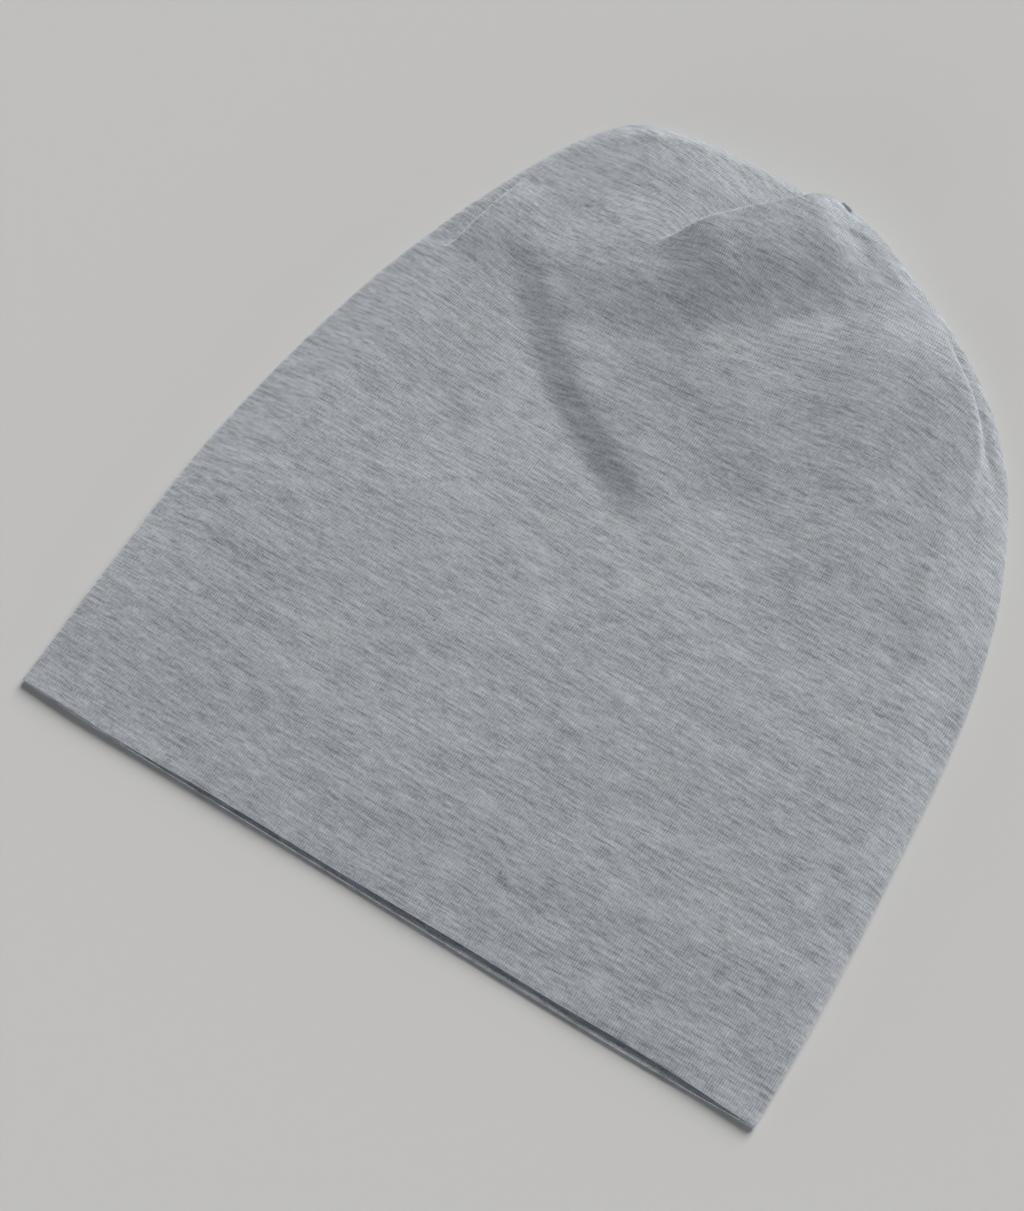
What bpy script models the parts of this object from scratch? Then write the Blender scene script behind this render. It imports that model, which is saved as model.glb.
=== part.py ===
"""Slouchy beanie of double jersey, laid flat, with its crown slumped over itself.

One sewn bag: an upper and a lower sheet that run into each other at the folded sides and at the crown, and
a mouth that is open at the hem. Metres, +Z up. X runs along the hem, +Y from the hem to the crown's tip, and
the origin is the centre of the footprint, on the surface that the hat lies on.
"""

import math
from collections import namedtuple

import bmesh
import bpy
import numpy as np

# Driving sizes.
HEM_WIDTH = 0.242  # across the hem, laid flat
CROWN_HEIGHT = 0.264  # from the hem to the crown's tip
WALL = 0.0016  # two layers of jersey, sewn as one
FOLD_INNER_RADIUS = 0.0008  # inside the folded sides
HEM_EDGE = 0.0005  # rounding of the turned hem
MOUTH_GAP = 0.0050  # between the sheets at the hem, where they part most
HEM_BOW = 0.0028  # how far the lower hem bows out between the corners
BOW_LEAN = 0.30  # how much more the hem bows on the right than in the middle
MOUTH_SETBACK = 0.0036  # how far the upper hem lies behind the lower one
HEM_REACH = 0.0260  # how far up the bow of the hem is felt
BODY_GAP = 0.0072  # between the sheets at mid height
CROWN_GAP = 0.0105  # between the sheets in the slumped crown
SIDE_SLOPE = 0.030  # over which the upper sheet climbs from a folded side
EDGE_BLEND = 0.0072  # over which folds die away towards the outline
FOLD_DEPTH = 0.0040  # of the deepest valley
FOLD_REACH = 0.0130  # from the middle of that valley to its rim
LAP_STEP = 0.0080  # width of the drop where one layer laps over the next
LAP_REACH = 0.0300  # over which the crest behind a lap runs out

# Mesh density.
ACROSS = 42  # spans across the flat of a sheet
BODY_ROWS = 13  # spans from the hem to where the crown starts
CROWN_ROWS = 31  # spans from there to the top fold
ARC = 3  # spans in a quarter of a folded edge
OUTLINE_POINTS = 121  # along each side, for distances to the outline
FOLD_POINTS = 25  # along a fold's line
CROWN_START = 0.50  # share of the height above which the rows lie closer

JERSEY_COLOUR = (0.305, 0.319, 0.337, 1.0)
JERSEY_ROUGHNESS = 0.92
JERSEY_SHEEN = 0.25

# Outline of the hat, seen from above. A row is one section, from its left to its right end: x in shares of
# half the hem's width, y in shares of the height. The last row is the fold over the top.
Section = namedtuple("Section", "left_x left_y right_x right_y")
SECTIONS = (
    Section(-1.000, 0.000, 1.000, 0.000),
    Section(-1.000, 0.110, 0.998, 0.110),
    Section(-1.000, 0.220, 0.990, 0.220),
    Section(-0.999, 0.325, 0.975, 0.330),
    Section(-0.984, 0.420, 0.958, 0.435),
    Section(-0.956, 0.520, 0.932, 0.530),
    Section(-0.914, 0.622, 0.884, 0.625),
    Section(-0.872, 0.695, 0.822, 0.702),
    Section(-0.824, 0.765, 0.742, 0.776),
    Section(-0.768, 0.832, 0.632, 0.842),
    Section(-0.710, 0.893, 0.486, 0.900),
    Section(-0.650, 0.940, 0.330, 0.944),
    Section(-0.575, 0.975, 0.180, 0.976),
    Section(-0.460, 0.992, 0.040, 0.992),
    Section(-0.330, 0.998, -0.080, 0.998),
)

# Height of the hollow from the hem, the first row, to the tip, the last, at even steps. Each column is a
# share of the gap of that name.
Gap = namedtuple("Gap", "mouth body crown")
GAPS = (
    Gap(1.00, 0.00, 0.00),
    Gap(0.50, 0.45, 0.00),
    Gap(0.00, 1.00, 0.00),
    Gap(0.00, 0.92, 0.20),
    Gap(0.00, 0.42, 0.65),
    Gap(0.00, 0.00, 1.00),
    Gap(0.00, 0.00, 0.95),
)

# Valleys that the slumped cloth sinks into. Places are shares of half the hem's width and of the height, and
# depth is a share of FOLD_DEPTH. left and right are how far the valley reaches to either side as it runs
# from its first to its last point, in shares of FOLD_REACH. fade is the share of the line over which each
# end dies away.
Valley = namedtuple("Valley", "name x0 y0 x1 y1 x2 y2 depth left right fade")
VALLEYS = (
    Valley("main crease", -0.690, 0.815, -0.400, 0.640, 0.085, 0.490, 1.10, 0.75, 1.60, 0.16),
    Valley("dart trough", -0.410, 0.680, -0.030, 0.760, 0.180, 0.900, 0.50, 1.10, 1.50, 0.25),
    Valley("second crease", -0.190, 0.695, 0.110, 0.612, 0.450, 0.498, 0.45, 1.00, 1.40, 0.30),
    Valley("crown trough", 0.160, 0.880, 0.285, 0.752, 0.365, 0.610, 0.40, 1.30, 1.10, 0.30),
    Valley("side trough", 0.560, 0.770, 0.620, 0.520, 0.880, 0.140, 0.55, 0.90, 1.50, 0.20),
    Valley("left hollow", -0.730, 0.600, -0.574, 0.521, -0.410, 0.440, 0.32, 1.00, 1.50, 0.35),
    Valley("notch crease", -0.700, 0.800, -0.690, 0.840, -0.640, 0.880, 0.20, 0.50, 0.60, 0.40),
)

# Places where one layer laps over the next. The crest stands on the right of the line as it runs from its
# first to its last point. rise and drop are shares of FOLD_DEPTH on the high and the low side, and reach is
# a share of LAP_REACH. fade_in and fade_out say over which share of the line the lap starts and dies away.
Lap = namedtuple("Lap", "name x0 y0 x1 y1 x2 y2 rise drop reach fade_in fade_out")
LAPS = (
    Lap("crown dart", -0.330, 0.802, -0.132, 0.902, 0.020, 1.000, 1.25, 0.30, 1.10, 0.45, 0.02),
    Lap("left notch", -0.800, 0.680, -0.762, 0.750, -0.728, 0.835, 0.75, 0.70, 0.60, 0.40, 0.25),
    Lap("right roll", 0.405, 0.915, 0.628, 0.812, 0.732, 0.690, 0.95, 0.75, 0.60, 0.20, 0.35),
)

# The pucker where the dart's seam ends at the tip.
PUCKER_X = 0.030
PUCKER_Y = 0.985
PUCKER_DEPTH = 0.0022
PUCKER_RADIUS = 0.0060

HALF_HEM = HEM_WIDTH / 2
FOLD_RADIUS = WALL + FOLD_INNER_RADIUS
Side = namedtuple("Side", "along off")


def ramp(value):
    """A smooth rise from 0 at value 0 to 1 at value 1."""
    value = np.clip(value, 0.0, 1.0)
    return value * value * (3.0 - 2.0 * value)


def spline(stops, at):
    """Points at the shares at, on a Catmull-Rom curve through the evenly numbered stops."""
    stops = np.array(stops, float)
    padded = np.vstack([2 * stops[0] - stops[1], stops, 2 * stops[-1] - stops[-2]])
    place = np.clip(np.asarray(at, float), 0.0, 1.0) * (len(stops) - 1)
    index = np.minimum(place.astype(int), len(stops) - 2)
    part = (place - index)[:, None]
    before, start, end, after = (padded[index + step] for step in range(4))
    bend = 2 * before - 5 * start + 4 * end - after
    turn = 3 * start - before - 3 * end + after
    return start + 0.5 * part * (end - before + part * (bend + part * turn))


def side_ends(at):
    """Left and right ends of the hat's sections, in metres, at the shares at of the section table."""
    shares = spline(SECTIONS, at)
    sizes = (HALF_HEM, CROWN_HEIGHT)
    return shares[:, :2] * sizes, shares[:, 2:] * sizes


def outline():
    """The closed edge of the hat: up the left side, over the top fold and down the right side."""
    left, right = side_ends(np.linspace(0.0, 1.0, OUTLINE_POINTS))
    return np.vstack([left, right[::-1]])


def beside(line, points):
    """For each point its distance from the line, positive on the line's left, and how far along it lies."""
    starts, ends = line[:-1], line[1:]
    spans = ends - starts
    lengths = np.linalg.norm(spans, axis=1)
    reached = np.concatenate([[0.0], np.cumsum(lengths)])
    best = np.full(len(points), np.inf)
    along = np.zeros(len(points))
    for start, span, length, before in zip(starts, spans, lengths, reached):
        to_point = points - start
        part = np.clip(to_point @ span / length**2, 0.0, 1.0)
        away = to_point - part[:, None] * span
        distance = np.linalg.norm(away, axis=1)
        nearer = distance < np.abs(best)
        left = span[0] * to_point[:, 1] - span[1] * to_point[:, 0] >= 0
        best[nearer] = np.where(left, distance, -distance)[nearer]
        along[nearer] = ((before + part * length) / reached[-1])[nearer]
    return Side(along, best)


def fold_line(fold):
    """A fold's own curve through its three points, in metres."""
    stops = np.array([(fold.x0, fold.y0), (fold.x1, fold.y1), (fold.x2, fold.y2)])
    return spline(stops * (HALF_HEM, CROWN_HEIGHT), np.linspace(0.0, 1.0, FOLD_POINTS))


def hollow(points, depth_in):
    """Free height between the sheets before the folds, where a point lies depth_in inside the outline."""
    height = spline(GAPS, points[:, 1] / CROWN_HEIGHT) @ (MOUTH_GAP, BODY_GAP, CROWN_GAP)
    return (height - 2 * FOLD_INNER_RADIUS) * ramp(depth_in / SIDE_SLOPE)


def valley_depth(points):
    """How far the valleys sink the upper sheet."""
    depth = np.zeros(len(points))
    for valley in VALLEYS:
        side = beside(fold_line(valley), points)
        ends = ramp(side.along / valley.fade) * ramp((1.0 - side.along) / valley.fade)
        reach = FOLD_REACH * np.where(side.off > 0, valley.left, valley.right)
        depth += valley.depth * FOLD_DEPTH * ends * np.exp(-((side.off / reach) ** 2))
    return depth


def lap_height(points):
    """How far the laps lift the layer on top and press down the one below."""
    height = np.zeros(len(points))
    for lap in LAPS:
        side = beside(fold_line(lap), points)
        strength = ramp(side.along / lap.fade_in) * ramp((1.0 - side.along) / lap.fade_out)
        over = -side.off
        above = ramp(over / LAP_STEP + 0.5)
        crest = above * (1.0 - ramp(over / (lap.reach * LAP_REACH)))
        foot = (1.0 - above) * (1.0 - ramp(-over / LAP_REACH))
        height += strength * FOLD_DEPTH * (lap.rise * crest - lap.drop * foot)
    return height


def pucker_depth(points):
    """The dimple that the dart's seam draws into the tip."""
    centre = np.array([PUCKER_X * HALF_HEM, PUCKER_Y * CROWN_HEIGHT])
    away = np.linalg.norm(points - centre, axis=1)
    return PUCKER_DEPTH * np.exp(-((away / PUCKER_RADIUS) ** 2))


def sheet_heights(points, on_edge):
    """Height of the lower and of the upper sheet's outside over each point of the footprint."""
    depth_in = np.where(on_edge, 0.0, np.abs(beside(outline(), points).off))
    turned = np.clip(1.0 - depth_in / FOLD_RADIUS, 0.0, 1.0)
    half = FOLD_RADIUS * np.sqrt(1.0 - turned**2)
    raised = hollow(points, depth_in) - valley_depth(points) + lap_height(points) - pucker_depth(points)
    raised *= ramp(depth_in / EDGE_BLEND)
    return FOLD_RADIUS - half, FOLD_RADIUS + half + np.maximum(raised, 0.0)


def row_shares():
    """Shares of the section table at which the rows of the mesh lie, closer together in the crown."""
    body = np.linspace(0.0, CROWN_START, BODY_ROWS + 1)
    top = 1.0 - FOLD_RADIUS / CROWN_HEIGHT
    crown = np.linspace(CROWN_START, top, CROWN_ROWS + 1)[1:]
    turns = np.linspace(math.pi / 2, 0.0, ARC + 1)[1:]
    fold = 1.0 - FOLD_RADIUS / CROWN_HEIGHT * (1.0 - np.cos(turns))
    fine = np.linspace(0.0, 1.0, OUTLINE_POINTS)
    left, right = side_ends(fine)
    middle = (left[:, 1] + right[:, 1]) / 2
    return np.interp(np.concatenate([body, crown, fold]) * middle[-1], middle, fine)


def column_shares(width):
    """Shares of a row's width at which its points lie, closer together round the folded ends."""
    turns = np.linspace(0.0, math.pi / 2, ARC + 1)
    rounded = FOLD_RADIUS * (1.0 - np.cos(turns)) / width
    flat = np.linspace(rounded[-1], 1.0 - rounded[-1], ACROSS + 1)
    return np.concatenate([rounded[:-1], flat, 1.0 - rounded[:-1][::-1]])


def bow_hem(sheet, shift):
    """Moves the hem of a row of points along Y, most at its middle, and the rows above it less and less."""
    from_hem = ramp(1.0 - sheet[:, 1] / HEM_REACH)
    across = sheet[:, 0] / HALF_HEM
    lean = 1.0 - BOW_LEAN * (1.0 - across) / 2
    sheet[:, 1] += shift * from_hem * np.clip(1.0 - across**4, 0.0, 1.0) * lean


def bag_rings():
    """Rings of points round the bag, one for a row: the upper sheet left to right, then the lower back."""
    shares = row_shares()
    left, right = side_ends(shares)
    rings = []
    for row, (start, end) in enumerate(zip(left, right)):
        columns = column_shares(np.linalg.norm(end - start))
        upper = start + columns[:, None] * (end - start)
        lower = upper[::-1].copy()
        on_edge = np.isin(columns, (0.0, 1.0)) | (row == len(left) - 1)
        low, _ = sheet_heights(lower, on_edge)
        _, high = sheet_heights(upper, on_edge)
        bow_hem(lower, -HEM_BOW)
        bow_hem(upper, MOUTH_SETBACK - HEM_BOW)
        rings.append(np.vstack([np.column_stack([upper, high]), np.column_stack([lower, low])[1:]]))
    return rings


def make_bag():
    """The bag's outer surface: a grid rolled round, closed along its sides and top, and open at the hem."""
    rings = bag_rings()
    bm = bmesh.new()
    bmesh.ops.create_grid(bm, x_segments=len(rings[0]) - 1, y_segments=len(rings) - 1, size=1.0)
    bm.verts.ensure_lookup_table()
    count = len(rings[0])
    for number, vert in enumerate(bm.verts):
        row, column = divmod(number, count)
        vert.co = rings[row][column]
    bmesh.ops.remove_doubles(bm, verts=bm.verts, dist=FOLD_RADIUS / 100)
    bmesh.ops.recalc_face_normals(bm, faces=bm.faces)
    low = np.min([v.co for v in bm.verts], axis=0)
    high = np.max([v.co for v in bm.verts], axis=0)
    centre = (low + high) / 2
    bmesh.ops.translate(bm, verts=bm.verts, vec=(-centre[0], -centre[1], -low[2]))
    mesh = bpy.data.meshes.new("beanie_body")
    bm.to_mesh(mesh)
    bm.free()
    mesh.shade_smooth()
    return mesh


def jersey():
    """Matt heathered jersey."""
    material = bpy.data.materials.new("heathered_jersey")
    material.use_nodes = True
    shader = material.node_tree.nodes["Principled BSDF"]
    shader.inputs["Base Color"].default_value = JERSEY_COLOUR
    shader.inputs["Roughness"].default_value = JERSEY_ROUGHNESS
    shader.inputs["Metallic"].default_value = 0.0
    shader.inputs["Sheen Weight"].default_value = JERSEY_SHEEN
    return material


def beanie_body():
    """The whole hat as one cloth wall, thickened inwards, with the turned hem rounded."""
    body = bpy.data.objects.new("beanie_body", make_bag())
    body.data.materials.append(jersey())
    wall = body.modifiers.new("wall", "SOLIDIFY")
    wall.thickness = WALL
    wall.offset = -1.0
    wall.use_even_offset = True
    wall.use_quality_normals = True
    hem = body.modifiers.new("hem", "BEVEL")
    hem.width = HEM_EDGE
    hem.segments = 1
    hem.limit_method = "ANGLE"
    hem.angle_limit = math.radians(65)
    return body


def main():
    for old in list(bpy.data.objects):
        bpy.data.objects.remove(old, do_unlink=True)
    hat = bpy.data.collections.new("slouchy_beanie")
    bpy.context.scene.collection.children.link(hat)
    hat.objects.link(beanie_body())


main()
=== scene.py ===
"""Looks of a slouchy beanie of light grey heathered jersey, laid flat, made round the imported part.

The cloth body takes the place of the part's plain solid. It has the same outline and slump, with the folds,
the tuck at the tip, the turned hem and the knit worked out finely. The file is laid out as an add-on: sizes
and colours are properties, each piece has an operator, and main() calls the operators in order.
"""

import math
from collections import namedtuple

import bmesh
import bpy
import numpy as np
from bpy.props import FloatProperty, FloatVectorProperty, PointerProperty
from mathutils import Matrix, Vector, noise


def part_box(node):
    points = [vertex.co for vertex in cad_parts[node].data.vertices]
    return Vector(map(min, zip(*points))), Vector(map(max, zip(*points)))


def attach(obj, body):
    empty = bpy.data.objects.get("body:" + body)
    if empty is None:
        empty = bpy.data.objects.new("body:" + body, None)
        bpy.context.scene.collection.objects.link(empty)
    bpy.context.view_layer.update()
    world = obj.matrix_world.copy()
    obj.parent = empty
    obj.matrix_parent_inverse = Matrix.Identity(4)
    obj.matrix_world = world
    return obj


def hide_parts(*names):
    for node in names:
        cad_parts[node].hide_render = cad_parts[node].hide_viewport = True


bl_info = {
    "name": "Slouchy Beanie",
    "version": (1, 0, 0),
    "blender": (4, 5, 0),
    "location": "3D View > Sidebar > Beanie",
    "description": "Makes a slouchy beanie of heathered jersey, laid flat",
    "category": "Object",
}

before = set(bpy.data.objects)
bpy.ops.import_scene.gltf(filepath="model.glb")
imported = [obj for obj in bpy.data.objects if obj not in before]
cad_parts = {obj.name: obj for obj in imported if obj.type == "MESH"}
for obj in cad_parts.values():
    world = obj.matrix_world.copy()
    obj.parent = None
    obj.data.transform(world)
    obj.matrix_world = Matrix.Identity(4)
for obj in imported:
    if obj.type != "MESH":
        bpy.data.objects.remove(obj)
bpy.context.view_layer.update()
BODY_LOW, BODY_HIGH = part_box("beanie_body")
MIDDLE_X = (BODY_LOW.x + BODY_HIGH.x) / 2

MM = 1000  # millimetres in a metre
TOP_SHARE = 0.998  # share of the crown's height that the outline's highest point reaches
CROWN_ROLL_START = 0.42  # share of the height where the folded edge starts to thicken
CROWN_ROLL_END = 0.92  # share of the height where it is as thick as in the crown

# Outline of the hat, seen from above. A row is one section, from its left to its right end: x in shares
# of half the hem's width, y in shares of the height. The last row is the fold over the top.
Section = namedtuple("Section", "left_x left_y right_x right_y")
SECTIONS = (
    Section(-1.000, 0.000, 1.000, 0.000),
    Section(-1.000, 0.110, 0.998, 0.110),
    Section(-1.000, 0.220, 0.990, 0.220),
    Section(-0.999, 0.325, 0.975, 0.330),
    Section(-0.984, 0.420, 0.958, 0.435),
    Section(-0.956, 0.520, 0.932, 0.530),
    Section(-0.914, 0.622, 0.884, 0.625),
    Section(-0.872, 0.695, 0.822, 0.702),
    Section(-0.824, 0.765, 0.742, 0.776),
    Section(-0.768, 0.832, 0.632, 0.842),
    Section(-0.710, 0.893, 0.486, 0.900),
    Section(-0.650, 0.940, 0.330, 0.944),
    Section(-0.575, 0.975, 0.180, 0.976),
    Section(-0.460, 0.992, 0.040, 0.992),
    Section(-0.330, 0.998, -0.080, 0.998),
)

# Height of the hollow from the hem, the first row, to the tip, the last, at even steps. Each column is a
# share of the gap of that name.
Gap = namedtuple("Gap", "mouth body crown")
GAPS = (
    Gap(1.00, 0.00, 0.00),
    Gap(0.50, 0.45, 0.00),
    Gap(0.00, 1.00, 0.00),
    Gap(0.00, 0.92, 0.20),
    Gap(0.00, 0.42, 0.65),
    Gap(0.00, 0.00, 1.00),
    Gap(0.00, 0.00, 0.95),
)

# The hem from its left to its right corner, at even steps: how far the lower sheet's edge and the upper
# one's bow out, in shares of the hem's bow, and how far the mouth stands open, in shares of its gap.
Hem = namedtuple("Hem", "lower upper gap")
HEMS = (
    Hem(0.00, 0.00, 0.00),
    Hem(0.72, 0.62, 0.20),
    Hem(0.84, 0.16, 0.35),
    Hem(0.86, -0.02, 0.50),
    Hem(0.95, -0.16, 0.75),
    Hem(1.00, -0.46, 0.95),
    Hem(1.00, -0.46, 0.90),
    Hem(0.76, -0.70, 1.00),
    Hem(0.00, 0.00, 0.00),
)

# Valleys that the slumped cloth sinks into. Places are shares of half the hem's width and of the height,
# and depth is a share of the fold depth. left and right say how far the valley reaches to either side as
# it runs from its first to its last point, in shares of the fold reach. fade is the share of the line
# over which each end dies away.
Valley = namedtuple("Valley", "name x0 y0 x1 y1 x2 y2 depth left right fade")
VALLEYS = (
    Valley("main crease", -0.690, 0.775, -0.330, 0.612, 0.075, 0.500, 0.28, 0.50, 0.50, 0.16),
    Valley("second crease", -0.170, 0.680, 0.150, 0.600, 0.430, 0.500, 0.30, 0.80, 1.20, 0.30),
    Valley("left hollow", -0.700, 0.585, -0.540, 0.510, -0.400, 0.440, 0.30, 0.90, 1.10, 0.35),
    Valley("notch crease", -0.723, 0.827, -0.708, 0.828, -0.690, 0.828, 0.12, 0.12, 0.12, 0.40),
)

# Places where the cloth steps down, steeply where one layer laps over the next and gently where it has
# slumped. The high side is on the right of the line as it runs from its first to its last point. rise and
# drop are shares of the fold depth on the high and the low side. crown and reach say where the high side
# starts to fall and where it has run out, in shares of the lap reach. In millimetres, step is the width
# of the step, lip how far it hangs over the layer below, and blend the strip inside the outline over
# which it dies away. fade_in and fade_out say over which share of the line the step starts and dies away,
# and 0 runs it on past the end.
Lap = namedtuple("Lap", "name x0 y0 x1 y1 x2 y2 rise drop crown reach step lip blend fade_in fade_out")
LAPS = (
    Lap("crown dart", -0.33, 0.806, -0.095, 0.925, 0.18, 1.07, 1.74, 0.2, 0.16, 1.3, 3, 1, 4, 0.22, 0),
    Lap("left notch", -0.8, 0.69, -0.762, 0.75, -0.73, 0.838, 0.7, 1, 0.02, 0.8, 2.2, 0.9, 2.2, 0.45, 0.4),
    Lap("right roll", 0.365, 0.922, 0.611, 0.818, 0.722, 0.69, 0.7, 0.8, 0.04, 1.3, 4.4, 0.5, 3, 0.4, 0.6),
    Lap("main crease", 0.11, 0.494, -0.33, 0.612, -0.7, 0.78, 0.92, 0.32, 1, 6, 12, 0, 9, 0.25, 0.2),
    Lap("crown slope", 0.19, 0.915, -0.13, 0.768, -0.52, 0.685, 1.25, 0, 1, 6, 22, 0, 9, 0.12, 0.3),
    Lap("front slope", 0.56, 0.74, 0.2, 0.68, -0.2, 0.6, 0.75, 0, 1.4, 6, 50, 0, 9, 0.3, 0.3),
    Lap("side swell", 0.44, 0.48, 0.36, 0.7, 0.16, 0.86, 0.5, 0, 1, 5, 32, 0, 9, 0.3, 0.2),
    Lap("rim roll", 0.88, 0.06, 0.85, 0.37, 0.61, 0.68, 0.32, 0.15, 0.3, 0.8, 13, 0, 5, 0.25, 0.2),
)
CROWN_DART = LAPS[0]

# The slit of the tuck at the tip, in shares of half the hem's width and of the height.
Slit = namedtuple("Slit", "x0 y0 x1 y1 x2 y2")
SLIT = Slit(0.021, 0.992, 0.018, 0.978, 0.050, 0.970)

# Places where the knit has turned in the slump: a centre and a reach in shares of half the hem's width
# and of the height, and an angle in degrees, anticlockwise from above.
Turn = namedtuple("Turn", "name x y reach_x reach_y angle")
TURNS = (
    Turn("front lobe", 0.140, 0.830, 0.500, 0.200, 6.0),
    Turn("right edge", 0.640, 0.790, 0.330, 0.150, -16.0),
    Turn("below the crease", 0.300, 0.620, 0.600, 0.200, 3.0),
    Turn("left shoulder", -0.700, 0.700, 0.300, 0.160, -6.0),
)
DART_TURN = -22.0  # degrees that the lobe behind the dart has turned at its start
DART_SPREAD = 150.0  # degrees round the dart's start over which that turn dies away

# Specks and a knot in the yarn, with painted shade for the small dimple round the knot: places in shares of
# half the hem's width and of the height, a radius in millimetres, and how much darker the yarn is drawn
# there, on the scale of the heather's tones.
Mark = namedtuple("Mark", "name x y radius dark")
MARKS = (
    # The knot's wide spot is painted shade of the small dimple round it; its flecks are darker yarn.
    Mark("knot", 0.233, 0.082, 3.0, 0.16),
    Mark("knot fleck", 0.222, 0.086, 0.8, 0.35),
    Mark("low knot fleck", 0.246, 0.077, 0.7, 0.25),
    Mark("speck", -0.242, 0.288, 0.6, 0.60),
    Mark("small speck", -0.260, 0.420, 0.5, 0.45),
)

# What the fibres of heathered yarn show as: a length along the courses and a height up the wales, in
# millimetres, and the detail of the noise that draws them and the place on it.
Fibre = namedtuple("Fibre", "length height detail x y")
STREAKS = Fibre(9.0, 1.05, 2.5, 3.1, 7.7)
FINE_STREAKS = Fibre(3.4, 0.48, 1.5, 11.3, 2.9)
BROAD_STREAKS = Fibre(34.0, 7.0, 1.0, 5.9, 4.3)
DYED_ENDS = Fibre(6.5, 0.40, 0.0, 8.3, 1.9)
GRAIN = Fibre(0.60, 1.5, 1.0, 4.7, 6.1)
HUES = Fibre(18.0, 2.0, 2.0, 1.7, 9.1)
DARK_TONE = 0.20  # tone of the heather at which the yarn is darkest
LIGHT_TONE = 0.80  # tone at which it is lightest

# Mesh density
ACROSS = 156  # spans across the flat of the upper sheet
LOWER_SHARE = 4  # spans of the upper sheet to one of the lower
HEM_ROWS = 5  # spans from the hem's edge to where it stops bending down
BODY_ROWS = 42  # spans from there to where the crown starts
CROWN_ROWS = 96  # spans from there to the top fold
CROWN_START = 0.50  # share of the height above which the rows lie closer
ARC = 4  # spans in a quarter of a folded edge
OUTLINE_POINTS = 181  # along each side, for distances to the outline
FOLD_POINTS = 33  # along a fold's line
FINE_CUTS = 2  # cuts in each edge near a lap
FINE_REACH = 0.0042  # metres from a lap's line to the end of the fine mesh
TUCK_FINE_REACH = 0.0060  # metres from the tuck's slit to the end of its fine mesh
WELD = 0.0000012  # metres within which two points become one
HEM_SPANS = 4  # spans round the turned edge of the hem
HEM_ANGLE = 65  # degrees, past which an edge is the hem's and is rounded

# Where points lie beside a line: how far along it, how far off it, and which way its right is.
Side = namedtuple("Side", "along off right")

# A window stands beyond the crown, and a far wall throws light back low from the hem's side. In degrees,
# the bearing is clockwise from +Y as seen from above, the climb is from the floor, and the spread is how
# broad the source looks.
Source = namedtuple("Source", "bearing climb spread")
WINDOW = Source(6.0, 36.0, 42.0)
FAR_WALL = Source(185.0, 4.0, 50.0)
WINDOW_COLOUR = "#fffdfa"
ROOM_COLOUR = "#f2f4f8"
WALL_TOP = 0.30  # sine of the angle at which the walls give way to the ceiling

# The camera, and the point that it looks at, in metres from the middle of the hem.
Place = namedtuple("Place", "x y z")
EYE = Place(0.14434, -0.15737, 0.64057)
LOOKED_AT = Place(-0.01499, 0.09529, 0.0)
SENSOR = 36.0  # mm, the sensor's width


def linear(colour):
    """A linear RGBA colour from an sRGB hex value."""
    shares = [int(colour[at : at + 2], 16) / 255 for at in (1, 3, 5)]
    return [x / 12.92 if x <= 0.04045 else ((x + 0.055) / 1.055) ** 2.4 for x in shares] + [1.0]


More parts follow.
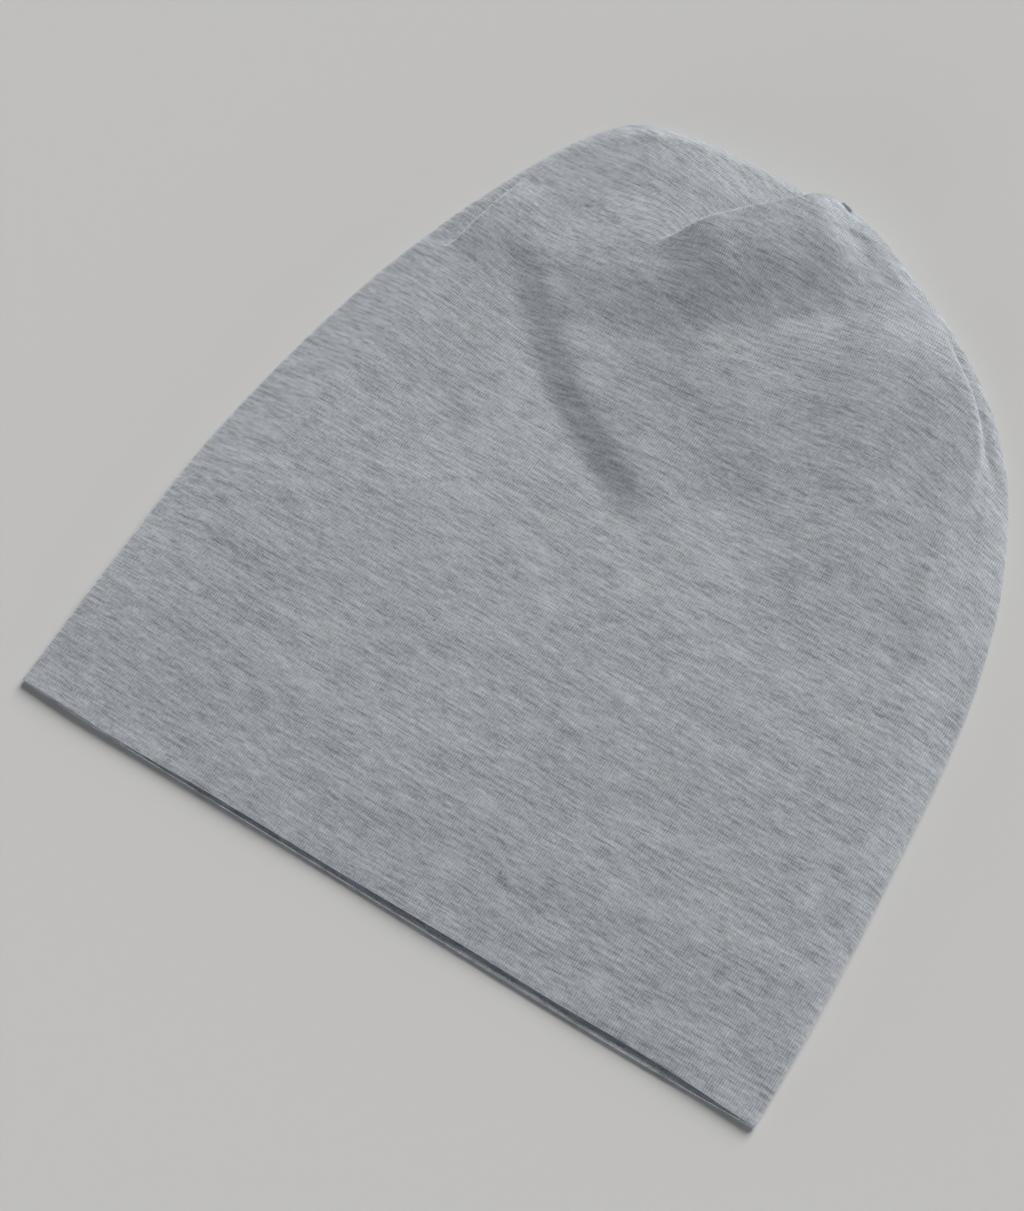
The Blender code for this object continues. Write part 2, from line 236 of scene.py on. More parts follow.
class BeanieSizes(bpy.types.PropertyGroup):
    """Sizes of the hat and of its slump."""

    hem_width: FloatProperty(
        name="Hem width",
        description="Across the hem, laid flat",
        default=BODY_HIGH.x - BODY_LOW.x,
        unit="LENGTH",
    )
    crown_height: FloatProperty(
        name="Crown height", description="From the hem to the crown's tip", default=0.264, unit="LENGTH"
    )
    wall: FloatProperty(
        name="Wall", description="Two layers of jersey sewn as one", default=0.0012, unit="LENGTH"
    )
    side_radius: FloatProperty(
        name="Side radius",
        description="Outside radius of the folded sides",
        default=0.0024,
        unit="LENGTH",
    )
    corner_radius: FloatProperty(
        name="Corner radius",
        description="Outside radius of the sides at the hem",
        default=0.00122,
        unit="LENGTH",
    )
    crown_radius: FloatProperty(
        name="Crown radius",
        description="Outside radius of the folded edge of the crown",
        default=0.0044,
        unit="LENGTH",
    )
    corner_reach: FloatProperty(
        name="Corner reach",
        description="Over which the sides reach their full radius",
        default=0.040,
        unit="LENGTH",
    )
    mouth_gap: FloatProperty(
        name="Mouth gap",
        description="Between the sheets at the hem, where they part most",
        default=0.0006,
        unit="LENGTH",
    )
    hem_bow: FloatProperty(
        name="Hem bow",
        description="How far the hem bows out between its corners",
        default=0.0012,
        unit="LENGTH",
    )
    hem_reach: FloatProperty(
        name="Hem reach",
        description="How far up the bow of the hem is felt",
        default=0.026,
        unit="LENGTH",
    )
    hem_droop: FloatProperty(
        name="Hem droop",
        description="How far the upper hem bends down to its edge",
        default=0.0005,
        unit="LENGTH",
    )
    droop_reach: FloatProperty(
        name="Droop reach",
        description="Over which the upper hem bends down",
        default=0.0060,
        unit="LENGTH",
    )
    hem_round: FloatProperty(
        name="Hem rounding",
        description="Radius of the turned edge of the hem",
        default=0.00055,
        unit="LENGTH",
    )
    body_gap: FloatProperty(
        name="Body gap", description="Between the sheets at mid height", default=0.0048, unit="LENGTH"
    )
    crown_gap: FloatProperty(
        name="Crown gap",
        description="Between the sheets in the slumped crown",
        default=0.0022,
        unit="LENGTH",
    )
    side_slope: FloatProperty(
        name="Side slope",
        description="Over which the upper sheet climbs from a side",
        default=0.024,
        unit="LENGTH",
    )
    edge_blend: FloatProperty(
        name="Edge blend",
        description="Over which valleys die away at the outline",
        default=0.0072,
        unit="LENGTH",
    )
    fold_depth: FloatProperty(
        name="Fold depth",
        description="That the folds' rises and depths are shares of",
        default=0.0038,
        unit="LENGTH",
    )
    fold_reach: FloatProperty(
        name="Fold reach",
        description="From the middle of a valley to its rim",
        default=0.0130,
        unit="LENGTH",
    )
    lap_reach: FloatProperty(
        name="Lap reach",
        description="Over which the crest behind a lap runs out",
        default=0.0300,
        unit="LENGTH",
    )
    tuck_depth: FloatProperty(
        name="Tuck depth", description="Of the slit at the tip", default=0.0017, unit="LENGTH"
    )
    tuck_width: FloatProperty(
        name="Tuck width",
        description="From the middle of the slit to its rim",
        default=0.0008,
        unit="LENGTH",
    )
    tuck_pull: FloatProperty(
        name="Tuck pull",
        description="How far the slit draws the outline in",
        default=0.0003,
        unit="LENGTH",
    )
    tuck_heap: FloatProperty(
        name="Tuck heap",
        description="How far the cloth round the slit bulges out",
        default=0.0010,
        unit="LENGTH",
    )
    heap_reach: FloatProperty(
        name="Heap reach",
        description="From the slit to the end of the bulge round it",
        default=0.0060,
        unit="LENGTH",
    )
    wave_height: FloatProperty(
        name="Wave height",
        description="Of the slight unevenness of lying cloth",
        default=0.00035,
        unit="LENGTH",
    )
    wave_length: FloatProperty(
        name="Wave length",
        description="Of the slight unevenness of lying cloth",
        default=0.032,
        unit="LENGTH",
    )


class BeanieJersey(bpy.types.PropertyGroup):
    """Colours and knit of the jersey. Lengths are in millimetres, as a knitter measures them."""

    light: FloatVectorProperty(
        name="Light yarn",
        description="Where the yarn is mostly bleached fibre",
        default=linear("#cacfd3"),
        size=4,
        min=0.0,
        max=1.0,
        subtype="COLOR",
    )
    dark: FloatVectorProperty(
        name="Dark yarn",
        description="Where the yarn is mostly dyed fibre",
        default=linear("#80858a"),
        size=4,
        min=0.0,
        max=1.0,
        subtype="COLOR",
    )
    wale: FloatProperty(
        name="Wale spacing", description="Between the ribs of stitches, in mm", default=0.74
    )
    course: FloatProperty(
        name="Course spacing", description="Between the rows of stitches, in mm", default=0.62
    )
    roughness: FloatProperty(
        name="Roughness", description="Of the fibres", default=0.92, subtype="FACTOR"
    )
    sheen: FloatProperty(
        name="Sheen", description="Of the fuzz on the cloth", default=0.45, subtype="FACTOR"
    )


class BeanieStage(bpy.types.PropertyGroup):
    """Floor, light and camera."""

    floor_side: FloatProperty(
        name="Floor side", description="Of the square floor", default=8.0, unit="LENGTH"
    )
    key_strength: FloatProperty(name="Key strength", description="Of the soft window light", default=3.4)
    far_wall_strength: FloatProperty(
        name="Far wall strength", description="Of the light from the wall across the room", default=1.00
    )
    wall_glow: FloatProperty(
        name="Wall glow", description="Light that the pale walls throw back", default=2.40
    )
    ceiling_glow: FloatProperty(name="Ceiling glow", description="Light from above the walls", default=0.08)
    lens: FloatProperty(name="Lens", description="Focal length in mm on a 36 mm sensor", default=72.0)


def ramp(value):
    """A smooth rise from 0 at value 0 to 1 at value 1."""
    value = np.clip(value, 0.0, 1.0)
    return value * value * (3.0 - 2.0 * value)


def spline(stops, at):
    """Points at the shares at, on a Catmull-Rom curve through the evenly numbered stops."""
    stops = np.array(stops, float)
    padded = np.vstack([2 * stops[0] - stops[1], stops, 2 * stops[-1] - stops[-2]])
    place = np.clip(np.asarray(at, float), 0.0, 1.0) * (len(stops) - 1)
    index = np.minimum(place.astype(int), len(stops) - 2)
    part = (place - index)[:, None]
    before, start, end, after = (padded[index + step] for step in range(4))
    bend = 2 * before - 5 * start + 4 * end - after
    turn = 3 * start - before - 3 * end + after
    return start + 0.5 * part * (end - before + part * (bend + part * turn))


def scale_of(sizes):
    """Metres in a share across and in a share up the hat."""
    return np.array([sizes.hem_width / 2, sizes.crown_height])


def side_ends(at, sizes):
    """Left and right ends of the hat's sections, in metres, at the shares at of the section table."""
    shares = spline(SECTIONS, at)
    return shares[:, :2] * scale_of(sizes), shares[:, 2:] * scale_of(sizes)


def outline(sizes):
    """The closed edge of the hat: up the left side, over the top fold and down the right side."""
    left, right = side_ends(np.linspace(0.0, 1.0, OUTLINE_POINTS), sizes)
    return np.vstack([left, right[::-1]])


def beside(line, points):
    """How far along the line each point lies, how far off, positive on its left, and which way is right."""
    starts, spans = line[:-1], np.diff(line, axis=0)
    lengths = np.linalg.norm(spans, axis=1)
    reached = np.concatenate([[0.0], np.cumsum(lengths)])
    off = np.full(len(points), np.inf)
    along = np.zeros(len(points))
    right = np.zeros((len(points), 2))
    for start, span, length, before in zip(starts, spans, lengths, reached):
        to_point = points - start
        part = np.clip(to_point @ span / length**2, 0.0, 1.0)
        distance = np.linalg.norm(to_point - part[:, None] * span, axis=1)
        nearer = distance < np.abs(off)
        left = span[0] * to_point[:, 1] - span[1] * to_point[:, 0] >= 0
        off[nearer] = np.where(left, distance, -distance)[nearer]
        along[nearer] = ((before + part * length) / reached[-1])[nearer]
        right[nearer] = np.array([span[1], -span[0]]) / length
    return Side(along, off, right)


def fold_line(fold, sizes):
    """A fold's own curve through its three points, in metres."""
    stops = np.array([(fold.x0, fold.y0), (fold.x1, fold.y1), (fold.x2, fold.y2)])
    return spline(stops * scale_of(sizes), np.linspace(0.0, 1.0, FOLD_POINTS))


def hem_profile(points, sizes):
    """The hem table's columns at each point's place across the hat."""
    return spline(HEMS, (points[:, 0] / scale_of(sizes)[0] + 1.0) / 2.0)


def hollow(points, depth_in, sizes):
    """Free height between the sheets before the folds, where a point lies depth_in inside the outline."""
    mouth = sizes.mouth_gap * hem_profile(points, sizes)[:, 2]
    shares = spline(GAPS, points[:, 1] / sizes.crown_height)
    height = shares[:, 0] * mouth + shares[:, 1] * sizes.body_gap + shares[:, 2] * sizes.crown_gap
    return height * ramp(depth_in / sizes.side_slope)


def valley_depth(points, sizes):
    """How far the valleys sink the upper sheet."""
    depth = np.zeros(len(points))
    for valley in VALLEYS:
        side = beside(fold_line(valley, sizes), points)
        ends = ramp(side.along / valley.fade) * ramp((1.0 - side.along) / valley.fade)
        reach = sizes.fold_reach * np.where(side.off > 0, valley.left, valley.right)
        depth += valley.depth * sizes.fold_depth * ends * np.exp(-((side.off / reach) ** 2))
    return depth


def end_fade(along, share):
    """How strong a lap is at a place along its line, where it starts over a share of it."""
    return ramp(along / share) if share else np.ones(len(along))


def laps(points, depth_in, sizes):
    """How far the laps lift the cloth, and how far across they push it so that the crests hang over."""
    lift = np.zeros(len(points))
    push = np.zeros((len(points), 2))
    for lap in LAPS:
        side = beside(fold_line(lap, sizes), points)
        strength = end_fade(side.along, lap.fade_in) * end_fade(1.0 - side.along, lap.fade_out)
        strength *= ramp(depth_in * MM / lap.blend)
        step = lap.step / MM
        over = -side.off
        above = ramp(over / step + 0.5)
        fall = (over / sizes.lap_reach - lap.crown) / (lap.reach - lap.crown)
        crest = above * (1.0 - ramp(fall))
        foot = (1.0 - above) * (1.0 - ramp(-over / sizes.lap_reach))
        lift += strength * sizes.fold_depth * (lap.rise * crest - lap.drop * foot)
        sway = -np.sin(2 * math.pi * np.clip(over / step, -0.5, 0.5))
        push += (strength * sway * lap.lip / MM)[:, None] * side.right
    return lift, push


def tuck(points, sizes):
    """How deep the tuck's slit is, and how far the cloth round it is heaped out or drawn in."""
    side = beside(fold_line(SLIT, sizes), points)
    depth = sizes.tuck_depth * np.exp(-((side.off / sizes.tuck_width) ** 2))
    mouth = np.array([SLIT.x0, SLIT.y0]) * scale_of(sizes)
    away = np.linalg.norm(points - mouth, axis=1)
    heap = sizes.tuck_heap * np.exp(-((away / sizes.heap_reach) ** 2))
    pull = (sizes.tuck_heap + sizes.tuck_pull) * np.exp(-((away / (2.0 * sizes.tuck_width)) ** 2))
    return depth, (heap - pull)[:, None] * np.array([0.0, 1.0])


def waves(points, sizes):
    """The slight unevenness of cloth that lies free."""
    spots = [noise.noise(Vector((x, y, 0.0))) for x, y in points / sizes.wave_length]
    return sizes.wave_height * np.array(spots)


def lay(flat, sizes):
    """Where the cloth comes to lie. flat is x and y as seen from above, and a level: over 0 on the upper
    sheet, under it on the lower one, and 0 along the folded edge."""
    points, level = flat[:, :2], flat[:, 2]
    on_edge = level == 0
    depth_in = np.where(on_edge, 0.0, np.abs(beside(outline(sizes), points).off))
    from_corner = ramp(points[:, 1] / sizes.corner_reach)
    rolled = (points[:, 1] / sizes.crown_height - CROWN_ROLL_START) / (CROWN_ROLL_END - CROWN_ROLL_START)
    radius = sizes.corner_radius + (sizes.side_radius - sizes.corner_radius) * from_corner
    radius += (sizes.crown_radius - sizes.side_radius) * ramp(rolled)
    turned = np.clip(1.0 - depth_in / radius, 0.0, 1.0)
    half = radius * np.sqrt(1.0 - turned**2)
    lift, push = laps(points, depth_in, sizes)
    dip, draw = tuck(points, sizes)
    soft = hollow(points, depth_in, sizes) - valley_depth(points, sizes) + waves(points, sizes)
    raised = soft * ramp(depth_in / sizes.edge_blend) + lift
    upper = radius + half + np.maximum(raised, 0.0) - dip * ramp(depth_in / (2 * sizes.tuck_width))
    height = np.where(level > 0, upper, radius - half)
    height[on_edge] = radius[on_edge]
    hem = hem_profile(points, sizes)
    bent = np.clip(1.0 - points[:, 1] / sizes.droop_reach, 0.0, 1.0) ** 2
    height -= sizes.hem_droop * hem[:, 2] * bent * (level > 0)
    from_hem = ramp(1.0 - points[:, 1] / sizes.hem_reach)
    bow = -sizes.hem_bow * from_hem * np.where(level >= 0, hem[:, 1], hem[:, 0])
    place = points + draw
    place[level > 0] += push[level > 0]
    place[:, 1] += np.where(on_edge, 0.0, bow)
    return np.column_stack([place, height])


def row_shares(sizes):
    """Shares of the section table at which the rows of the mesh lie, closer together in the crown."""
    edge = sizes.side_radius / sizes.crown_height
    bent = sizes.droop_reach / sizes.crown_height
    hem = np.linspace(0.0, bent, HEM_ROWS + 1)[:-1]
    body = np.concatenate([hem, np.linspace(bent, CROWN_START, BODY_ROWS + 1)])
    crown = np.linspace(CROWN_START, 1.0 - edge, CROWN_ROWS + 1)[1:]
    turns = np.linspace(math.pi / 2, 0.0, ARC + 1)[1:]
    fold = 1.0 - edge * (1.0 - np.cos(turns))
    fine = np.linspace(0.0, 1.0, OUTLINE_POINTS)
    left, right = side_ends(fine, sizes)
    middle = (left[:, 1] + right[:, 1]) / 2
    return np.interp(np.concatenate([body, crown, fold]) * middle[-1], middle, fine)


def column_shares(width, spans, radius):
    """Shares of a row's width at which its points lie, closer together round the folded ends."""
    turns = np.linspace(0.0, math.pi / 2, ARC + 1)
    rounded = radius * (1.0 - np.cos(turns)) / width
    flat = np.linspace(rounded[-1], 1.0 - rounded[-1], spans + 1)
    return np.concatenate([rounded[:-1], flat, 1.0 - rounded[:-1][::-1]])


def flat_rings(sizes):
    """A ring of flat points for each row: the upper sheet left to right, then the lower one back."""
    shares = row_shares(sizes)
    rings = []
    for row, (start, end) in enumerate(zip(*side_ends(shares, sizes))):
        width = np.linalg.norm(end - start)
        ring = []
        for spans, level in ((ACROSS, 1.0), (ACROSS // LOWER_SHARE, -1.0)):
            columns = column_shares(width, spans, sizes.side_radius)
            points = start + columns[:, None] * (end - start)
            edge = np.isin(columns, (0.0, 1.0)) | (row == len(shares) - 1)
            sheet = np.column_stack([points, np.where(edge, 0.0, level)])
            ring.append(sheet if level > 0 else sheet[::-1][1:])
        rings.append(np.vstack(ring))
    return np.array(rings)


def turn_knit(knit, centre, angle):
    """Turns knit coordinates about a centre by each point's own angle, in degrees."""
    cos, sin = np.cos(np.radians(angle)), np.sin(np.radians(angle))
    x, y = (knit - centre).T
    return np.column_stack([cos * x + sin * y, cos * y - sin * x]) + centre


def knit_map(rings, sizes):
    """Knit coordinates of the rings, in metres: u along the courses, round the hat, and v up the wales."""
    laid = lay(rings.reshape(-1, 3), sizes).reshape(rings.shape)
    steps = np.linalg.norm(np.diff(laid, axis=1), axis=2)
    round_it = np.concatenate([np.zeros((len(rings), 1)), np.cumsum(steps, axis=1)], axis=1)
    middle = ARC + ACROSS // 2
    u = round_it - round_it[:, middle : middle + 1] + rings[:, middle : middle + 1, 0]
    knit = np.stack([u, rings[:, :, 1]], axis=2).reshape(-1, 2)
    flat = rings.reshape(-1, 3)
    shares = flat[:, :2] / scale_of(sizes)
    for turn in TURNS:
        away = (shares - (turn.x, turn.y)) / (turn.reach_x, turn.reach_y)
        weight = np.exp(-(away**2).sum(axis=1)) * (flat[:, 2] > 0)
        knit = turn_knit(knit, np.array([turn.x, turn.y]) * scale_of(sizes), turn.angle * weight)
    dart = fold_line(CROWN_DART, sizes)
    run, out = dart[-1] - dart[0], flat[:, :2] - dart[0]
    round_start = np.degrees(np.arctan2(run[0] * out[:, 1] - run[1] * out[:, 0], out @ run))
    behind = beside(dart, flat[:, :2]).off > 0
    weight = ramp(1.0 - np.abs(round_start) / DART_SPREAD) * behind * (flat[:, 2] > 0)
    return turn_knit(knit, dart[0], DART_TURN * weight)


def rolled_grid(sizes):
    """A flat grid rolled once round the hat and welded into a bag, with the knit coordinates on it."""
    rings = flat_rings(sizes)
    rows, count = rings.shape[:2]
    bm = bmesh.new()
    bmesh.ops.create_grid(bm, x_segments=count - 1, y_segments=rows - 1, size=1.0)
    bm.verts.ensure_lookup_table()
    bm.verts.index_update()
    for vert, place in zip(bm.verts, rings.reshape(-1, 3)):
        vert.co = place
    knit = knit_map(rings, sizes)
    layer = bm.loops.layers.uv.new("knit")
    for face in bm.faces:
        for loop in face.loops:
            loop[layer].uv = knit[loop.vert.index]
    # The lower sheet's top edge is cut as finely as the upper one's, so that they weld point to point.
    top = bm.verts[(rows - 1) * count : rows * count]
    lower_top = top[ACROSS + 3 * ARC : count - ARC]
    edges = [bm.edges.get(pair) for pair in zip(lower_top[:-1], lower_top[1:])]
    bmesh.ops.subdivide_edges(bm, edges=edges, cuts=LOWER_SHARE - 1)
    bmesh.ops.remove_doubles(bm, verts=bm.verts, dist=WELD)
    return bm


def refine(bm, sizes):
    """Cuts the mesh finer where a layer laps over the next, and round the tuck."""
    folds = [(fold_line(lap, sizes), FINE_REACH) for lap in LAPS if lap.lip]
    folds.append((fold_line(SLIT, sizes), TUCK_FINE_REACH))
    middles = np.array([(edge.verts[0].co + edge.verts[1].co) / 2 for edge in bm.edges])
    near = np.zeros(len(middles), bool)
    for line, reach in folds:
        near |= np.abs(beside(line, middles[:, :2]).off) < reach
    near &= middles[:, 2] > 0
    edges = [edge for edge, fine in zip(bm.edges, near) if fine]
    bmesh.ops.subdivide_edges(bm, edges=edges, cuts=FINE_CUTS, use_grid_fill=True)


def hem_line(sizes):
    """The hem's place up the hat's length, at which the crown reaches the end of the part's body."""
    return BODY_HIGH.y - TOP_SHARE * sizes.crown_height


def body_mesh(sizes):
    """The outer surface of the hat, as it lies."""
    bm = rolled_grid(sizes)
    refine(bm, sizes)
    flat = np.array([vert.co for vert in bm.verts])
    laid = lay(flat, sizes) + (MIDDLE_X, hem_line(sizes), BODY_LOW.z)
    for vert, place in zip(bm.verts, laid):
        vert.co = place
    bmesh.ops.recalc_face_normals(bm, faces=bm.faces)
    mesh = bpy.data.meshes.new("beanie_cloth")
    bm.to_mesh(mesh)
    bm.free()
    mesh.shade_smooth()
    return mesh


def add_node(tree, kind, inputs=None, **settings):
    """Adds a node with its settings. An input's value is a number, a colour, or an output to link to it."""
    node = tree.nodes.new(kind)
    for name, value in settings.items():
        setattr(node, name, value)
    for name, value in (inputs or {}).items():
        if isinstance(value, bpy.types.NodeSocket):
            tree.links.new(value, node.inputs[name])
        else:
            node.inputs[name].default_value = value
    return node


def start_material(name):
    """A material with nothing but its output and a shader."""
    material = bpy.data.materials.new(name)
    material.use_nodes = True
    tree = material.node_tree
    tree.nodes.clear()
    shader = add_node(tree, "ShaderNodeBsdfPrincipled")
    add_node(tree, "ShaderNodeOutputMaterial", {"Surface": shader.outputs["BSDF"]})
    return material, tree, shader


def fibre_marks(tree, knit, fibre):
    """Marks as long along the courses and as high up the wales as the fibre's row says."""
    inputs = {
        "Vector": knit,
        "Scale": (MM / fibre.length, MM / fibre.height, 1.0),
        "Location": (fibre.x, fibre.y, 0.0),
    }
    spread = add_node(tree, "ShaderNodeMapping", inputs).outputs["Vector"]
    settings = {"Vector": spread, "Scale": 1.0, "Detail": fibre.detail, "Roughness": 0.55}
    return add_node(tree, "ShaderNodeTexNoise", settings, noise_dimensions="2D").outputs["Fac"]


def layered(tree, *layers):
    """Patterns and their weights, each centred on a half, added to one that is centred there too."""
    total = 0.5 - 0.5 * sum(weight for _, weight in layers)
    for pattern, weight in layers:
        inputs = {0: pattern, 1: weight, 2: total}
        total = add_node(tree, "ShaderNodeMath", inputs, operation="MULTIPLY_ADD").outputs[0]
    return total


def stitches(tree, knit, jersey):
    """The ribs of the wales, and the rows of loops that bend into a V on each rib."""
    one_wave = 2 * math.pi / 20  # the wave texture's scale for one wave in a metre
    wale = {"Vector": knit, "Scale": one_wave * MM / jersey.wale}
    ribs = add_node(tree, "ShaderNodeTexWave", wale).outputs["Fac"]
    slant = add_node(tree, "ShaderNodeTexWave", wale, wave_profile="TRI").outputs["Fac"]
    bend = add_node(tree, "ShaderNodeMath", {0: slant, 1: math.pi}, operation="MULTIPLY").outputs[0]
    course = {"Vector": knit, "Scale": one_wave * MM / jersey.course, "Phase Offset": bend}
    return ribs, add_node(tree, "ShaderNodeTexWave", course, bands_direction="Y").outputs["Fac"]


def heathered_jersey(jersey, sizes):
    """Jersey of heathered yarn, circular knitted and washed. Bleached and dyed fibres are spun together, so
    each yarn is light and dark by turns, and every course shows as a run of thin streaks. The wales stand
    as fine ribs that break the streaks up, and the cut fibre ends make the cloth matt, with a pale bloom
    at its edges."""
    material, tree, shader = start_material("heathered_jersey")
    knit = add_node(tree, "ShaderNodeUVMap", uv_map="knit").outputs["UV"]
    # A dyed fibre marks its yarn for 4 to 15 mm, and the yarn of one course is about 0.5 mm high.
    streaks = fibre_marks(tree, knit, STREAKS)
    fine = fibre_marks(tree, knit, FINE_STREAKS)
    broad = fibre_marks(tree, knit, BROAD_STREAKS)
    # Only the strongest marks of the dyed ends show, as short dark dashes.
    ends = fibre_marks(tree, knit, DYED_ENDS)
    dark_ends = add_node(tree, "ShaderNodeMapRange", {"Value": ends, "From Min": 0.66, "From Max": 0.80})
    # Light and dark loops line up for a few rows up a wale.
    grain = fibre_marks(tree, knit, GRAIN)
    # Real wales are 0.55 mm apart and are drawn wider, or they would be lost between the pixels.
    ribs, loops = stitches(tree, knit, jersey)
    broken = add_node(tree, "ShaderNodeMath", {0: fine, 1: ribs}, operation="MULTIPLY").outputs[0]
    heather = layered(
        tree,
        (streaks, 0.56),
        (fine, 0.27),
        (broken, 0.24),
        (grain, 0.36),
        (broad, 0.22),
        (ribs, 0.05),
        (loops, 0.03),
    )
    marked = layered(tree, (heather, 1.0), (dark_ends.outputs["Result"], -0.14))
    # Specks and flecks darken the yarn; the knot's wide spot is painted shade of its dimple.
    for mark in MARKS:
        place = (*(np.array([mark.x, mark.y]) * scale_of(sizes)), 0.0)
        away = add_node(tree, "ShaderNodeVectorMath", {0: knit, 1: place}, operation="DISTANCE")
        spot = {
            "Value": away.outputs["Value"],
            "From Max": mark.radius / MM,
            "To Min": -mark.dark,
            "To Max": 0.0,
        }
        dark = add_node(tree, "ShaderNodeMapRange", spot, interpolation_type="SMOOTHSTEP").outputs["Result"]
        marked = add_node(tree, "ShaderNodeMath", {0: marked, 1: dark}, operation="ADD").outputs[0]
    yarn = add_node(tree, "ShaderNodeValToRGB", {"Fac": marked})
    stops = yarn.color_ramp.elements
    stops[0].position, stops[0].color = DARK_TONE, jersey.dark
    stops[1].position, stops[1].color = LIGHT_TONE, jersey.light
    hue = fibre_marks(tree, knit, HUES)
    tints = {"Factor": hue, "A": linear("#f7faff"), "B": linear("#fdfafb")}
    cast = add_node(tree, "ShaderNodeMix", tints, data_type="RGBA")
    tinted = {"Factor": 1.0, "A": yarn.outputs["Color"], "B": cast.outputs[2]}
    colour = add_node(tree, "ShaderNodeMix", tinted, data_type="RGBA", blend_type="MULTIPLY")
    relief = layered(tree, (ribs, 0.7), (loops, 0.4), (streaks, 0.5))
    bump = add_node(tree, "ShaderNodeBump", {"Height": relief, "Strength": 0.35, "Distance": 0.00014})
    tree.links.new(colour.outputs[2], shader.inputs["Base Color"])
    tree.links.new(bump.outputs["Normal"], shader.inputs["Normal"])
    shader.inputs["Roughness"].default_value = jersey.roughness
    shader.inputs["Specular IOR Level"].default_value = 0.18
    shader.inputs["Sheen Weight"].default_value = jersey.sheen
    shader.inputs["Sheen Roughness"].default_value = 0.45
    shader.inputs["Sheen Tint"].default_value = linear("#e9eef2")
    return material


def painted_board():
    """Board with matt emulsion paint, rolled: even and pale, with a roller texture that hardly shows."""
    material, tree, shader = start_material("painted_board")
    place = add_node(tree, "ShaderNodeTexCoord").outputs["Object"]
    # The roller leaves a grain of about 1.4 mm.
    grain = add_node(tree, "ShaderNodeTexNoise", {"Vector": place, "Scale": 700.0, "Detail": 3.0})
    relief = {"Height": grain.outputs["Fac"], "Strength": 0.06, "Distance": 0.0002}
    bump = add_node(tree, "ShaderNodeBump", relief)
    tree.links.new(bump.outputs["Normal"], shader.inputs["Normal"])
    shader.inputs["Base Color"].default_value = linear("#d3d3d2")
    shader.inputs["Roughness"].default_value = 0.85
    shader.inputs["Specular IOR Level"].default_value = 0.15
    return material


def link_new(name, data):
    """A new object in the scene."""
    made = bpy.data.objects.new(name, data)
    bpy.context.scene.collection.objects.link(made)
    return made


def aim(made, target):
    """Turns a light or camera towards a point."""
    made.rotation_euler = (Vector(target) - made.location).to_track_quat("-Z", "Y").to_euler()


def soft_light(name, strength, source, colour):
    """A distant light, as broad as its source is seen from the hat."""
    lamp = bpy.data.lights.new(name, "SUN")
    lamp.energy = strength
    lamp.angle = math.radians(source.spread)
    lamp.color = linear(colour)[:3]
    bearing, climb = math.radians(source.bearing), math.radians(source.climb)
    made = link_new(name, lamp)
    made.location = (math.sin(bearing), math.cos(bearing), math.tan(climb))
    aim(made, (0.0, 0.0, 0.0))


class BEANIE_OT_body(bpy.types.Operator):
    """Makes the hat's cloth: one bag of jersey with its folds, tuck and turned hem"""

    bl_idname = "beanie.body"
    bl_label = "Cloth body"

    def execute(self, context):
        sizes = context.scene.beanie_sizes
        cloth = link_new("beanie_cloth", body_mesh(sizes))
        cloth.data.materials.append(heathered_jersey(context.scene.beanie_jersey, sizes))
        wall = cloth.modifiers.new("wall", "SOLIDIFY")
        wall.thickness = sizes.wall
        wall.offset = -1.0
        wall.use_quality_normals = True
        hem = cloth.modifiers.new("hem", "BEVEL")
        hem.width = sizes.hem_round
        hem.segments = HEM_SPANS
        hem.limit_method = "ANGLE"
        hem.angle_limit = math.radians(HEM_ANGLE)
        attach(cloth, "root")
        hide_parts("beanie_body")
        return {"FINISHED"}


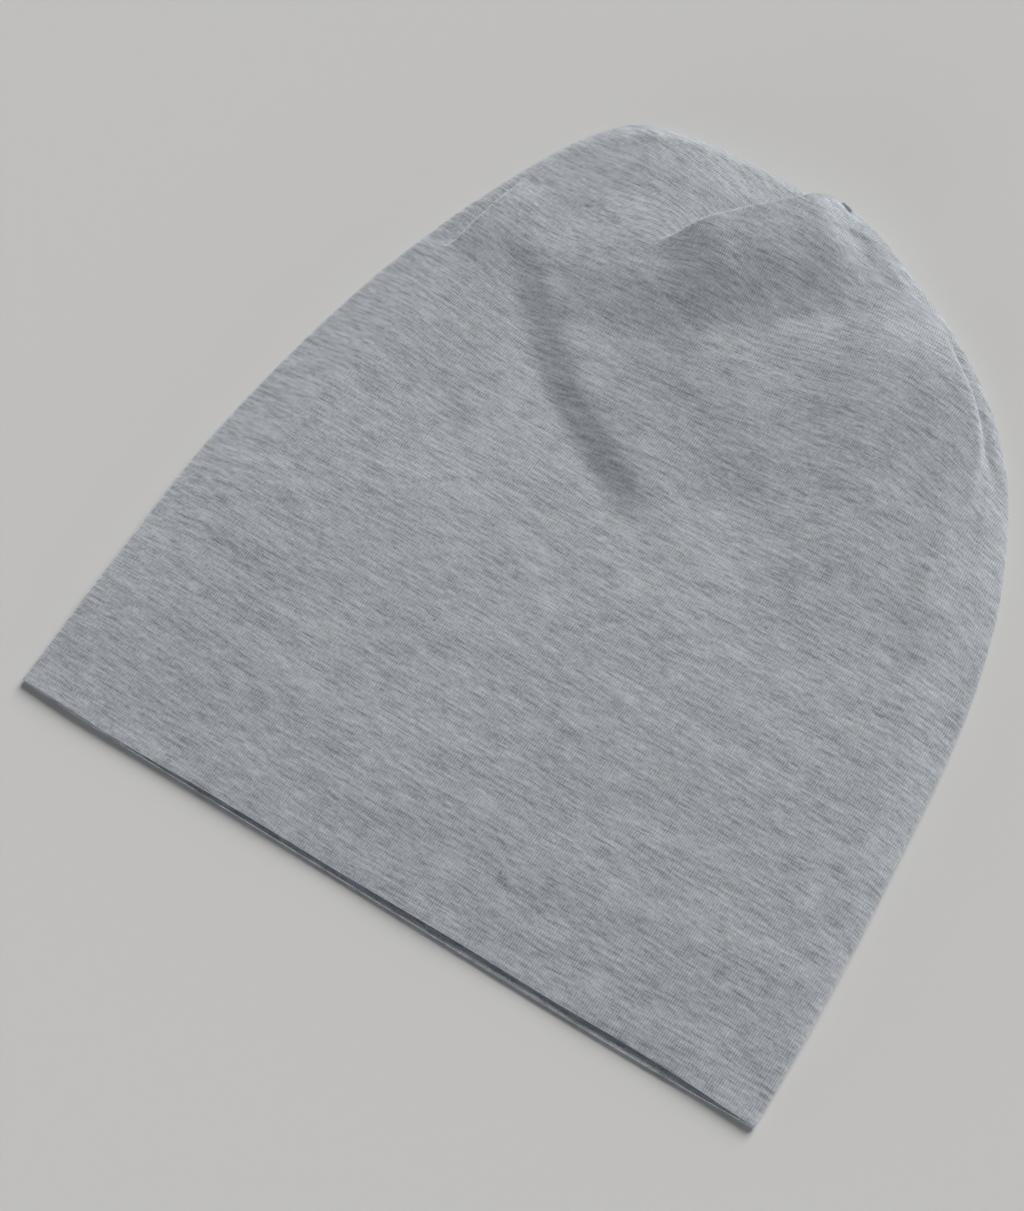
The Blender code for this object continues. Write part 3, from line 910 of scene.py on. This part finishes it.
class BEANIE_OT_stage(bpy.types.Operator):
    """Makes the floor, the soft light and the camera"""

    bl_idname = "beanie.stage"
    bl_label = "Stage"

    def execute(self, context):
        stage = context.scene.beanie_stage
        bm = bmesh.new()
        bmesh.ops.create_grid(bm, x_segments=1, y_segments=1, size=stage.floor_side / 2)
        mesh = bpy.data.meshes.new("floor")
        bm.to_mesh(mesh)
        bm.free()
        floor = link_new("floor", mesh)
        floor.data.materials.append(painted_board())

        soft_light("window", stage.key_strength, WINDOW, WINDOW_COLOUR)
        soft_light("far_wall", stage.far_wall_strength, FAR_WALL, ROOM_COLOUR)

        sky = bpy.data.worlds.new("room")
        sky.use_nodes = True
        way = add_node(sky.node_tree, "ShaderNodeTexCoord").outputs["Generated"]
        climbed = add_node(sky.node_tree, "ShaderNodeSeparateXYZ", {"Vector": way}).outputs["Z"]
        walls = {
            "Value": climbed,
            "From Max": WALL_TOP,
            "To Min": stage.wall_glow,
            "To Max": stage.ceiling_glow,
        }
        fading = add_node(sky.node_tree, "ShaderNodeMapRange", walls, interpolation_type="SMOOTHSTEP")
        glow = sky.node_tree.nodes["Background"]
        glow.inputs["Color"].default_value = linear(ROOM_COLOUR)
        sky.node_tree.links.new(fading.outputs["Result"], glow.inputs["Strength"])
        context.scene.world = sky

        hem_y = hem_line(context.scene.beanie_sizes)
        eye = link_new("camera", bpy.data.cameras.new("camera"))
        eye.data.lens = stage.lens
        eye.data.sensor_width = SENSOR
        eye.location = (EYE.x, hem_y + EYE.y, EYE.z)
        aim(eye, (LOOKED_AT.x, hem_y + LOOKED_AT.y, LOOKED_AT.z))
        context.scene.camera = eye
        context.scene.view_settings.view_transform = "Standard"
        return {"FINISHED"}


class BEANIE_PT_sidebar(bpy.types.Panel):
    """Lists the hat's pieces, sizes and colours"""

    bl_idname = "BEANIE_PT_sidebar"
    bl_label = "Slouchy Beanie"
    bl_space_type = "VIEW_3D"
    bl_region_type = "UI"
    bl_category = "Beanie"

    def draw(self, context):
        for made in OPERATORS:
            self.layout.operator(made.bl_idname)
        for group in (context.scene.beanie_sizes, context.scene.beanie_jersey, context.scene.beanie_stage):
            column = self.layout.box().column()
            for name in group.bl_rna.properties.keys():
                if name not in ("rna_type", "name"):
                    column.prop(group, name)


GROUPS = {"beanie_sizes": BeanieSizes, "beanie_jersey": BeanieJersey, "beanie_stage": BeanieStage}
OPERATORS = (BEANIE_OT_body, BEANIE_OT_stage)


def register():
    for kind in (*GROUPS.values(), *OPERATORS, BEANIE_PT_sidebar):
        bpy.utils.register_class(kind)
    for name, kind in GROUPS.items():
        setattr(bpy.types.Scene, name, PointerProperty(type=kind))


def unregister():
    for name in GROUPS:
        delattr(bpy.types.Scene, name)
    for kind in (BEANIE_PT_sidebar, *reversed(OPERATORS), *GROUPS.values()):
        bpy.utils.unregister_class(kind)


def main():
    register()
    bpy.ops.beanie.body()
    bpy.ops.beanie.stage()


if __name__ == "__main__":
    main()
